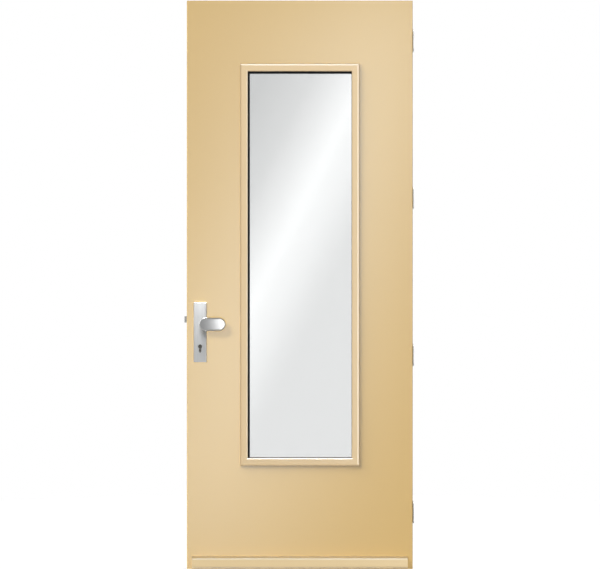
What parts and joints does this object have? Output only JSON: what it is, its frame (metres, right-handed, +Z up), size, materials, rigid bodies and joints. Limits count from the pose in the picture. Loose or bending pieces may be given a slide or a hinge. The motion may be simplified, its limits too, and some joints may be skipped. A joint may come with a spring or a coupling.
{
  "type": "glass door",
  "caption": "Tall insulated flush door leaf with one long rectangular glass pane in a moulded frame, side knob on a lock plate, mortice lock, weather bar and butt hinges.",
  "frame": {"origin": "foot of the leaf, middle of its width and of its thickness", "axes": "+X across the leaf towards the hinges, +Y through the leaf from the outside to the inside, +Z up"},
  "size_m": [0.9492, 0.165, 2.34],
  "materials": {
    "leaf_paint": "satin beige paint on the face sheets",
    "bead_paint": "satin beige paint on the moulded beads",
    "bar_paint": "satin beige paint",
    "timber": "planed, unvarnished",
    "foam": "rigid insulating foam",
    "glass": "clear float glass",
    "spacer": "black spacer bar",
    "sealant": "black edge sealant",
    "tape": "black closed-cell glazing tape",
    "packer": "moulded glazing packers",
    "rail_aluminium": "mill finish extrusion",
    "screw_steel": "zinc-plated steel",
    "case_steel": "zinc-plated pressed steel",
    "bolt_steel": "satin nickel-plated steel",
    "spring_steel": "bright spring wire",
    "cylinder_nickel": "satin nickel-plated brass",
    "plug_brass": "turned brass",
    "plate_aluminium": "satin, brushed lengthwise",
    "handle_aluminium": "satin cast and brushed",
    "bush_plastic": "black bearing bush",
    "hinge_steel": "satin stainless steel"
  },
  "bodies": {
    "frame_leaves": {"frame_hinge_leaf_1": "hinge_steel", "frame_hinge_leaf_2": "hinge_steel", "frame_hinge_leaf_3": "hinge_steel", "frame_hinge_leaf_4": "hinge_steel", "hinge_pins": "hinge_steel"},
    "door": {"outer_skin": "leaf_paint", "inner_skin": "leaf_paint", "lock_stile": "timber", "hinge_stile": "timber", "top_rail": "timber", "bottom_rail": "timber", "aperture_stile_lock": "timber", "aperture_stile_hinge": "timber", "aperture_rail_top": "timber", "aperture_rail_bottom": "timber", "insulation_core": "foam", "outer_bead_top": "bead_paint", "outer_bead_bottom": "bead_paint", "outer_bead_lock": "bead_paint", "outer_bead_hinge": "bead_paint", "inner_bead_top": "bead_paint", "inner_bead_bottom": "bead_paint", "inner_bead_lock": "bead_paint", "inner_bead_hinge": "bead_paint", "bead_screws": "screw_steel", "glazing_tapes": "tape", "outer_pane": "glass", "inner_pane": "glass", "spacer_bar": "spacer", "edge_sealant": "sealant", "glazing_packers": "packer", "weather_bar": "bar_paint", "weather_bar_rail": "rail_aluminium", "weather_bar_end_caps": "bar_paint", "weather_bar_screws": "screw_steel", "lock_case": "case_steel", "lock_cover": "case_steel", "forend": "bolt_steel", "lock_screws": "screw_steel", "latch_spring": "spring_steel", "cylinder_body": "cylinder_nickel", "cylinder_screw": "screw_steel", "outer_plate": "plate_aluminium", "outer_knob": "handle_aluminium", "inner_plate": "plate_aluminium", "lever_bush": "bush_plastic", "plate_bolts": "screw_steel", "door_hinge_leaf_1": "hinge_steel", "door_hinge_leaf_2": "hinge_steel", "door_hinge_leaf_3": "hinge_steel", "door_hinge_leaf_4": "hinge_steel", "hinge_screws": "screw_steel"},
    "lever": {"inner_lever": "handle_aluminium", "spindle": "case_steel", "follower": "case_steel"},
    "latch": {"latch_bolt": "bolt_steel"},
    "bolt": {"dead_bolt": "bolt_steel"},
    "outer_key_plug": {"outer_plug": "plug_brass", "cylinder_cam": "bolt_steel"},
    "inner_key_plug": {"inner_plug": "plug_brass"}
  },
  "joints": [
    {"name": "door_swing", "type": "hinge", "parent": "frame_leaves", "child": "door", "pos_m": [0.4665, 0.0355, 1.17], "axis": [0, 0, -1], "range_deg": [0, 170]},
    {"name": "lever_turn", "type": "hinge", "parent": "door", "child": "lever", "pos_m": [-0.41, 0.035, 1.008], "axis": [0, 1, 0], "range_deg": [0, 40], "stiffness_Nm_per_rad": 0.8, "springref_deg": -28.65},
    {"name": "latch_slide", "type": "slide", "parent": "door", "child": "latch", "axis": [1, 0, 0], "range_m": [0, 0.011], "deforming": ["latch_spring"]},
    {"name": "key_turn", "type": "hinge", "parent": "door", "child": "outer_key_plug", "pos_m": [-0.41, 0, 0.916], "axis": [0, -1, 0], "range_deg": [0, 360]},
    {"name": "bolt_slide", "type": "slide", "parent": "door", "child": "bolt", "axis": [-1, 0, 0], "range_m": [0, 0.02]},
    {"name": "inner_key_turn", "type": "hinge", "parent": "door", "child": "inner_key_plug", "pos_m": [-0.41, 0.02, 0.916], "axis": [0, 1, 0], "range_deg": [0, 360]}
  ],
  "couplings": [
    {"joint": "latch_slide", "follows": "lever_turn", "m_per_rad": 0.015756},
    {"joint": "key_turn", "follows": "bolt_slide", "rad_per_m": 314.16}
  ]
}
